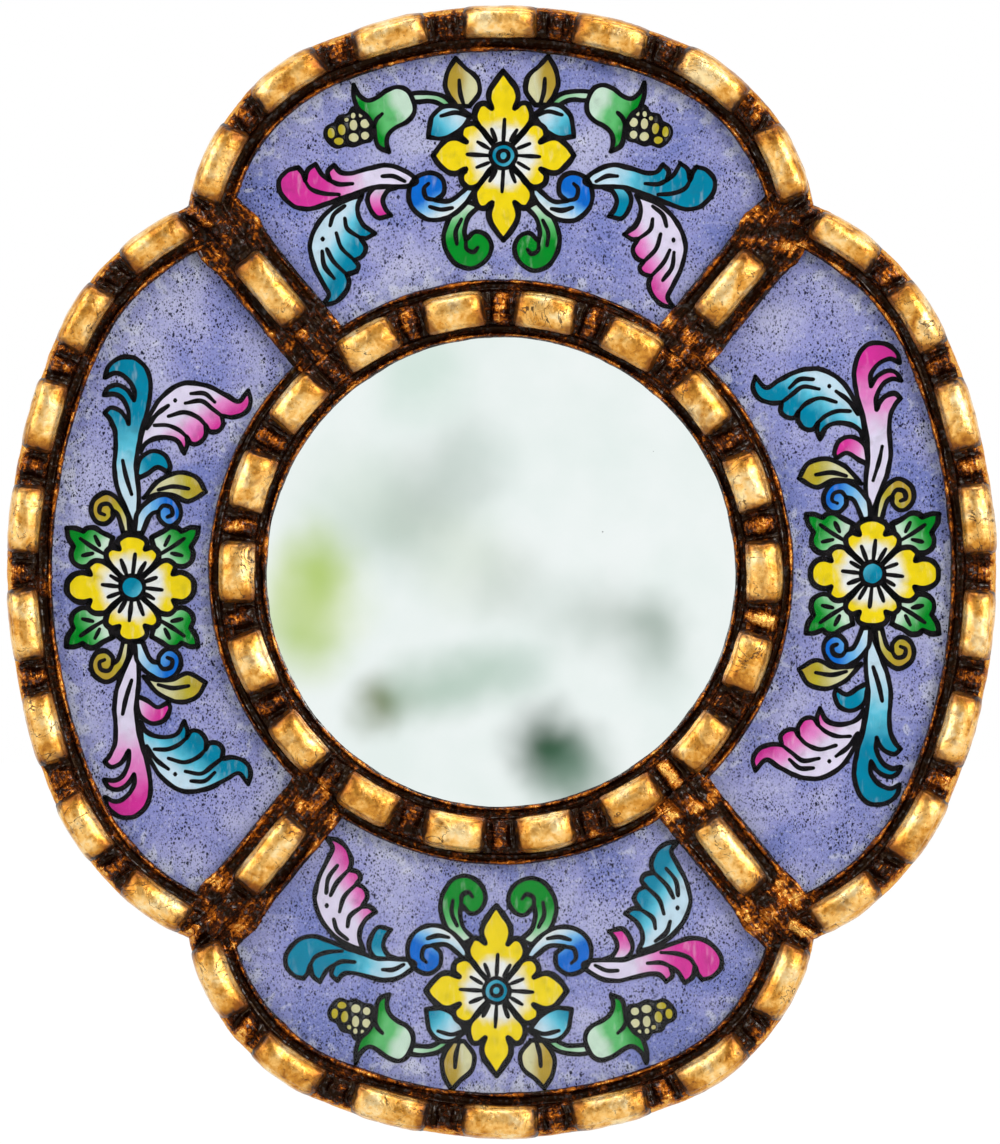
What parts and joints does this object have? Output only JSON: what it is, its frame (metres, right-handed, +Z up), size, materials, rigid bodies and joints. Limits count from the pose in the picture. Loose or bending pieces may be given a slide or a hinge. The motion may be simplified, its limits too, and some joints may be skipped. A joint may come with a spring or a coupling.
{
  "type": "wall mirror",
  "caption": "Small four-lobed wall mirror with a round glass in a gilt block ring, reverse-painted glass panes between gilt spokes, and a hinged ring hanger behind.",
  "frame": {"origin": "middle of the board's back face, on the wall plane", "axes": "+X to the viewer's right, +Z up, and the front faces -Y, so +Y points into the wall"},
  "size_m": [0.1752, 0.0135, 0.2],
  "materials": {
    "board": "thin dark stain on a plain board",
    "patina": "glossy brown-black patina over gold leaf, rubbed to amber on the high edges",
    "gilt": "mottled gold leaf, rubbed and lightly speckled",
    "painted_glass": "clear glass painted on its back with a lilac ground and flower-and-leaf ornament",
    "mirror": "silvered glass",
    "hanger": "zinc-plated steel, slightly dulled",
    "screw": "brass-plated wood screw",
    "steel": "plain wire nails"
  },
  "bodies": {
    "mirror": {"back_board": "board", "blocks_bottom": "gilt", "blocks_left": "gilt", "blocks_right": "gilt", "blocks_top": "gilt", "frame_brads": "steel", "hanger_screw": "screw", "hanger_strap": "hanger", "mirror_glass": "mirror", "pane_bottom": "painted_glass", "pane_left": "painted_glass", "pane_right": "painted_glass", "pane_top": "painted_glass", "rail_bottom": "patina", "rail_left": "patina", "rail_right": "patina", "rail_top": "patina", "ring_blocks": "gilt", "ring_moulding": "patina", "spoke_block_bottom_left": "gilt", "spoke_block_bottom_right": "gilt", "spoke_block_top_left": "gilt", "spoke_block_top_right": "gilt", "spoke_bottom_left": "patina", "spoke_bottom_right": "patina", "spoke_top_left": "patina", "spoke_top_right": "patina"},
    "hanger_ring": {"hanger_ring": "hanger"}
  },
  "joints": [
    {"name": "hanger_swing", "type": "hinge", "parent": "mirror", "child": "hanger_ring", "pos_m": [0, -0.00175, 0.0529], "axis": [-1, 0, 0], "range_deg": [0, 182]}
  ]
}
